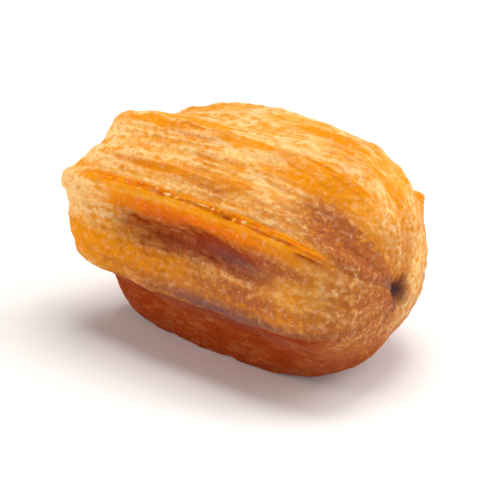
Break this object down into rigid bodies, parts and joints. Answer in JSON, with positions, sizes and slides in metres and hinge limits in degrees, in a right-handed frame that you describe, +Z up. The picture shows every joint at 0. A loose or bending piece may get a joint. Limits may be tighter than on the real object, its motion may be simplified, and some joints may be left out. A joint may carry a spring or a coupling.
{
  "type": "ridged filled doughnut",
  "caption": "Short fat bar of fried dough with lengthwise ridges, one blunt end and one end pinched to a dimple; a snack food that lies on its side.",
  "frame": {"origin": "middle of the bounding box's bottom, on the surface the doughnut rests on", "axes": "+X along the bar towards its pinched end, -Y towards its best face, +Z up"},
  "size_m": [0.0552, 0.0336, 0.0335],
  "materials": {
    "dough_crust": "golden fried crust, browner in the valleys, pale on the torn crests, satin with a trace of oil"
  },
  "bodies": {
    "root": {"doughnut": "dough_crust"}
  },
  "joints": []
}
